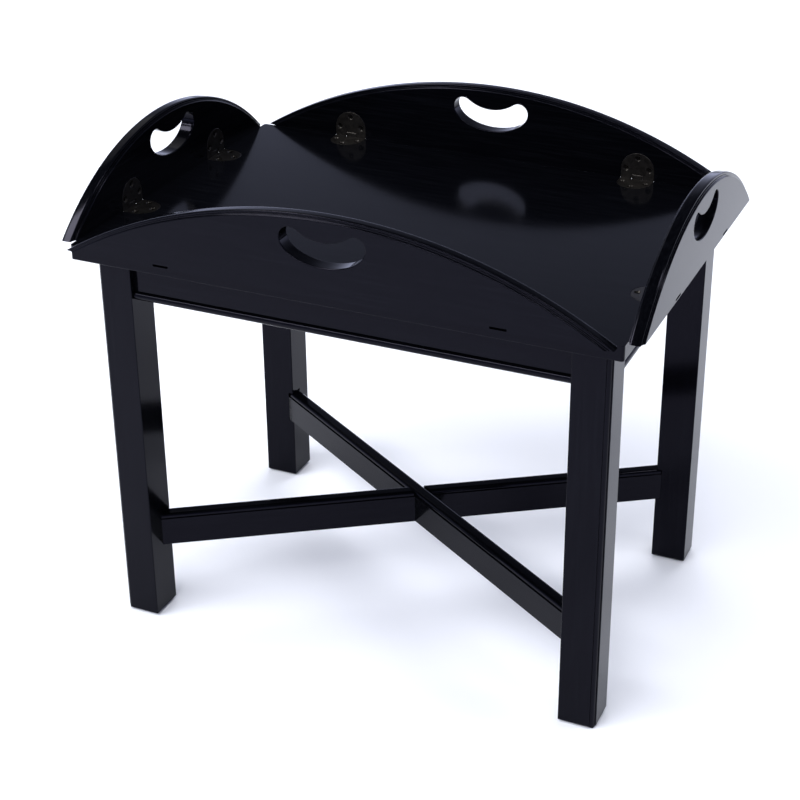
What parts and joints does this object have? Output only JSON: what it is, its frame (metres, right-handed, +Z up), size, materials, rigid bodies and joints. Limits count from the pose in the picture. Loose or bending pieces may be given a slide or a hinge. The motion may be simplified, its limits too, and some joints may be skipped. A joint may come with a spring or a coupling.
{
  "type": "butler coffee table",
  "caption": "Low table with a lift-off oblong tray, arched hinged leaves with kidney-shaped handle slots, square legs, aprons and crossed stretchers.",
  "frame": {"origin": "on the floor under the middle of the table", "axes": "+X to the right along the tray's long side, +Y to the back, +Z up"},
  "size_m": [0.62, 0.444, 0.533],
  "materials": {
    "black_lacquer": "black lacquer with a satin gloss over close-grained hardwood",
    "bare_wood": "plain sawn hardwood, unfinished",
    "antique_bronze": "brass with a dark antique bronze finish, lightly brushed"
  },
  "bodies": {
    "stand": {"leg_front_left": "black_lacquer", "leg_front_right": "black_lacquer", "leg_back_left": "black_lacquer", "leg_back_right": "black_lacquer", "apron_front": "black_lacquer", "apron_right": "black_lacquer", "apron_back": "black_lacquer", "apron_left": "black_lacquer", "stretcher_upper": "black_lacquer", "stretcher_lower": "black_lacquer", "corner_block_front_left": "bare_wood", "corner_block_front_right": "bare_wood", "corner_block_back_left": "bare_wood", "corner_block_back_right": "bare_wood"},
    "tray": {"tray_board": "black_lacquer", "tray_batten_front": "bare_wood", "tray_batten_back": "bare_wood", "hinge_front_left_tray_plate": "antique_bronze", "hinge_front_right_tray_plate": "antique_bronze", "hinge_right_front_tray_plate": "antique_bronze", "hinge_right_back_tray_plate": "antique_bronze", "hinge_back_right_tray_plate": "antique_bronze", "hinge_back_left_tray_plate": "antique_bronze", "hinge_left_back_tray_plate": "antique_bronze", "hinge_left_front_tray_plate": "antique_bronze"},
    "leaf_front": {"leaf_front": "black_lacquer", "hinge_front_left_leaf_plate": "antique_bronze", "hinge_front_right_leaf_plate": "antique_bronze"},
    "links_front": {"hinge_front_left_link": "antique_bronze", "hinge_front_right_link": "antique_bronze"},
    "leaf_right": {"leaf_right": "black_lacquer", "hinge_right_front_leaf_plate": "antique_bronze", "hinge_right_back_leaf_plate": "antique_bronze"},
    "links_right": {"hinge_right_front_link": "antique_bronze", "hinge_right_back_link": "antique_bronze"},
    "leaf_back": {"leaf_back": "black_lacquer", "hinge_back_right_leaf_plate": "antique_bronze", "hinge_back_left_leaf_plate": "antique_bronze"},
    "links_back": {"hinge_back_right_link": "antique_bronze", "hinge_back_left_link": "antique_bronze"},
    "leaf_left": {"leaf_left": "black_lacquer", "hinge_left_back_leaf_plate": "antique_bronze", "hinge_left_front_leaf_plate": "antique_bronze"},
    "links_left": {"hinge_left_back_link": "antique_bronze", "hinge_left_front_link": "antique_bronze"}
  },
  "joints": [
    {"name": "tray_lift", "type": "slide", "parent": "stand", "child": "tray", "axis": [0, 0, 1], "range_m": [0, 0.08]},
    {"name": "leaf_front_fold", "type": "hinge", "parent": "tray", "child": "leaf_front", "pos_m": [0, -0.206, 0.45], "axis": [1, 0, 0], "range_deg": [0, 90]},
    {"name": "links_front_swing", "type": "hinge", "parent": "tray", "child": "links_front", "pos_m": [0, -0.2024, 0.44851], "axis": [1, 0, 0], "range_deg": [0, 45]},
    {"name": "leaf_right_fold", "type": "hinge", "parent": "tray", "child": "leaf_right", "pos_m": [0.294, 0, 0.45], "axis": [0, 1, 0], "range_deg": [0, 90]},
    {"name": "links_right_swing", "type": "hinge", "parent": "tray", "child": "links_right", "pos_m": [0.2904, 0, 0.44851], "axis": [0, 1, 0], "range_deg": [0, 45]},
    {"name": "leaf_back_fold", "type": "hinge", "parent": "tray", "child": "leaf_back", "pos_m": [0, 0.206, 0.45], "axis": [-1, 0, 0], "range_deg": [0, 90]},
    {"name": "links_back_swing", "type": "hinge", "parent": "tray", "child": "links_back", "pos_m": [0, 0.2024, 0.44851], "axis": [-1, 0, 0], "range_deg": [0, 45]},
    {"name": "leaf_left_fold", "type": "hinge", "parent": "tray", "child": "leaf_left", "pos_m": [-0.294, 0, 0.45], "axis": [0, -1, 0], "range_deg": [0, 90]},
    {"name": "links_left_swing", "type": "hinge", "parent": "tray", "child": "links_left", "pos_m": [-0.2904, 0, 0.44851], "axis": [0, -1, 0], "range_deg": [0, 45]}
  ],
  "couplings": [
    {"joint": "links_front_swing", "follows": "leaf_front_fold", "ratio": 0.5},
    {"joint": "links_right_swing", "follows": "leaf_right_fold", "ratio": 0.5},
    {"joint": "links_back_swing", "follows": "leaf_back_fold", "ratio": 0.5},
    {"joint": "links_left_swing", "follows": "leaf_left_fold", "ratio": 0.5}
  ]
}
